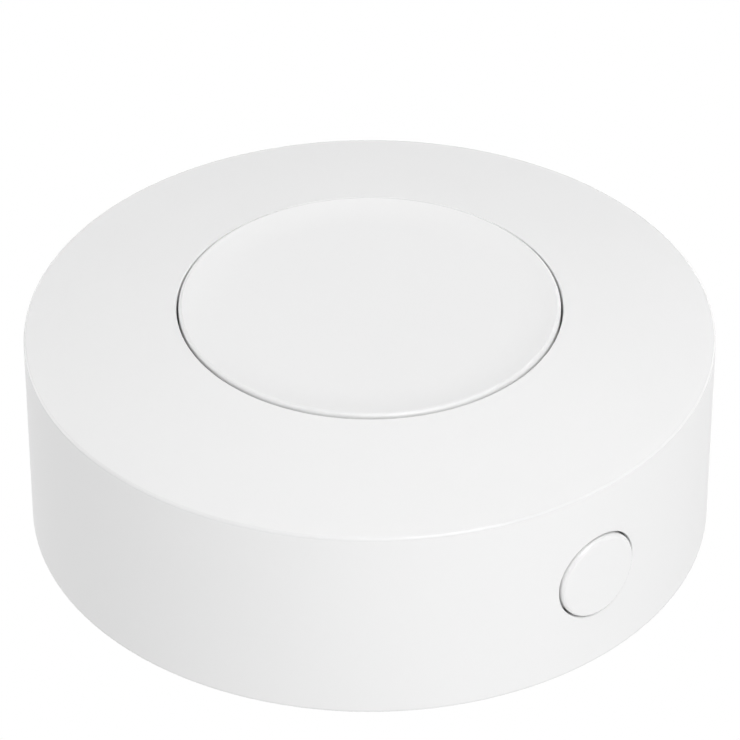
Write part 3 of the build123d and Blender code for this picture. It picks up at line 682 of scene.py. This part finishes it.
def snap_dome(node, up):
    """The sprung dome of a switch, in place of its rigid node."""
    low, high = (Vector(corner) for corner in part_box(node))
    middle, half = (low + high) / 2, (high - low) / 2
    total = 2 * abs(half.dot(up))
    radius, height = half.x, total - DOME_SHEET
    ball = (radius**2 + height**2) / (2 * height)
    mesh = bmesh.new()
    bmesh.ops.create_vert(mesh, co=(0, 0, height))
    bmesh.ops.spin(
        mesh, geom=mesh.verts[:], cent=(0, 0, height - ball), axis=(0, 1, 0), dvec=(0, 0, 0),
        angle=math.asin(radius / ball), steps=DOME_ARC_STEPS,
    )
    bmesh.ops.spin(
        mesh, geom=mesh.verts[:] + mesh.edges[:], cent=(0, 0, 0), axis=(0, 0, 1), dvec=(0, 0, 0),
        angle=math.tau, steps=DOME_TURN_STEPS, use_merge=True,
    )
    bmesh.ops.remove_doubles(mesh, verts=mesh.verts[:], dist=DOME_MERGE)
    bmesh.ops.recalc_face_normals(mesh, faces=mesh.faces[:])
    bmesh.ops.solidify(mesh, geom=mesh.faces[:], thickness=-DOME_SHEET)
    bmesh.ops.recalc_face_normals(mesh, faces=mesh.faces[:])
    base = middle - up * total / 2
    turn = Vector((0, 0, 1)).rotation_difference(up).to_matrix().to_4x4()
    bmesh.ops.transform(mesh, matrix=Matrix.Translation(base) @ turn, verts=mesh.verts[:])
    dome = case_piece(mesh, node + "_sprung", "sheet_steel")
    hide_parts(node)
    1 - PLUNGER_TRAVEL / total
    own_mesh(dome)


def screw_threads():
    """Ridges that climb the shanks of the tray screws, cut into the bosses and run out at both ends."""
    mesh = bmesh.new()
    steps = THREAD_TURNS * THREAD_TURN_STEPS
    crest_height = THREAD_RADIUS - THREAD_ROOT_RADIUS
    corners = (
        (THREAD_ROOT_RADIUS, -THREAD_HALF_WIDTH),
        (THREAD_RADIUS, 0),
        (THREAD_ROOT_RADIUS, THREAD_HALF_WIDTH),
    )
    for angle in SCREW_ANGLES:
        centre = direction(angle + 90, 0) * SCREW_CIRCLE_RADIUS
        section = [
            bmesh.ops.create_vert(mesh, co=centre + Vector((radius, 0, THREAD_BOTTOM + height)))["vert"][0]
            for radius, height in corners
        ]
        face = bmesh.ops.contextual_create(mesh, geom=section)["faces"][0]
        bmesh.ops.spin(
            mesh, geom=[face, *face.edges, *face.verts], cent=centre, axis=(0, 0, 1),
            dvec=(0, 0, THREAD_PITCH / THREAD_TURN_STEPS), angle=math.tau * THREAD_TURNS, steps=steps,
        )
        for vert in mesh.verts:
            out = (vert.co - centre) * Vector((1, 1, 0))
            if THREAD_ROOT_RADIUS + crest_height / 2 < out.length < 2 * THREAD_RADIUS:
                turns = (vert.co.z - THREAD_BOTTOM) / THREAD_PITCH
                share = min(1, max(THREAD_END_RISE, min(turns, THREAD_TURNS - turns)))
                vert.co -= out * (1 - (THREAD_ROOT_RADIUS + crest_height * share) / out.length)
    bmesh.ops.recalc_face_normals(mesh, faces=mesh.faces[:])
    case_piece(mesh, "tray_screw_threads", "screw_steel")


screw_threads()
snap_dome("main_switch_dome", Vector((0, 0, 1)))
snap_dome("side_switch_dome", Vector((0, -1, 0)))

# Camera
camera = link(bpy.data.objects.new("photo_camera", bpy.data.cameras.new("photo_camera")))
target = Vector((0, 0, CAMERA_AIM_HEIGHT * OUTER_RADIUS))
towards = direction(CAMERA_AZIMUTH, CAMERA_ELEVATION)
aim(camera, target + towards * CAMERA_DISTANCE * OUTER_RADIUS, target)
camera.data.sensor_width = SENSOR_WIDTH
camera.data.lens = FOCAL_LENGTH_PIXELS / PHOTO_WIDTH * SENSOR_WIDTH
camera.data.shift_x = SHIFT_PIXELS / PHOTO_WIDTH
camera.data.clip_start, camera.data.clip_end = CAMERA_CLIP
bpy.context.scene.camera = camera
bpy.context.scene.view_settings.view_transform = "Standard"

# Lit floor, white round the object; it shows from above only, so that the underside can be seen
bpy.ops.mesh.primitive_plane_add(size=FLOOR_SIZE, location=(0, 0, -FLOOR_DROP))
floor = bpy.context.object
floor.name = "floor"
paper = bpy.data.materials.new("floor_paper")
paper.use_nodes = True
paper.node_tree.nodes.clear()
nodes = Nodes(paper.node_tree)
place = nodes.node("ShaderNodeTexCoord", {}, {}, "Object")
distance = nodes.node("ShaderNodeVectorMath", {"operation": "LENGTH"}, {0: place}, "Value")
strength = nodes.fade(distance, FLOOR_FADE, FLOOR_GLOW, HORIZON_GLOW)
glow = nodes.node("ShaderNodeEmission", {}, {"Strength": strength})
under = nodes.node("ShaderNodeNewGeometry", {}, {}, "Backfacing")
nothing = nodes.node("ShaderNodeBsdfTransparent", {}, {})
surface = nodes.node("ShaderNodeMixShader", {}, {0: under, 1: glow, 2: nothing})
nodes.node("ShaderNodeOutputMaterial", {}, {"Surface": surface})
floor.data.materials.append(paper)

# Sky: as bright as the far floor at the horizon, dimmer overhead
sky = bpy.data.worlds.new("studio_sky")
sky.use_nodes = True
nodes = Nodes(sky.node_tree)
heading = nodes.node("ShaderNodeTexCoord", {}, {}, "Generated")
height = nodes.node("ShaderNodeSeparateXYZ", {}, {"Vector": heading}, "Z")
background = sky.node_tree.nodes["Background"].inputs
nodes.connect(background["Strength"], nodes.fade(height, SKY_FADE, HORIZON_GLOW, SKY_GLOW))
nodes.connect(background["Color"], (1, 1, 1, 1))
bpy.context.scene.world = sky

for name, (azimuth, elevation, width, power) in LIGHTS.items():
    lamp = link(bpy.data.objects.new(name, bpy.data.lights.new(name, "AREA")))
    lamp.data.size = width
    lamp.data.energy = power
    lamp.visible_camera = False
    aim(lamp, direction(azimuth, elevation) * LIGHT_DISTANCE, Vector((0, 0, 0)))
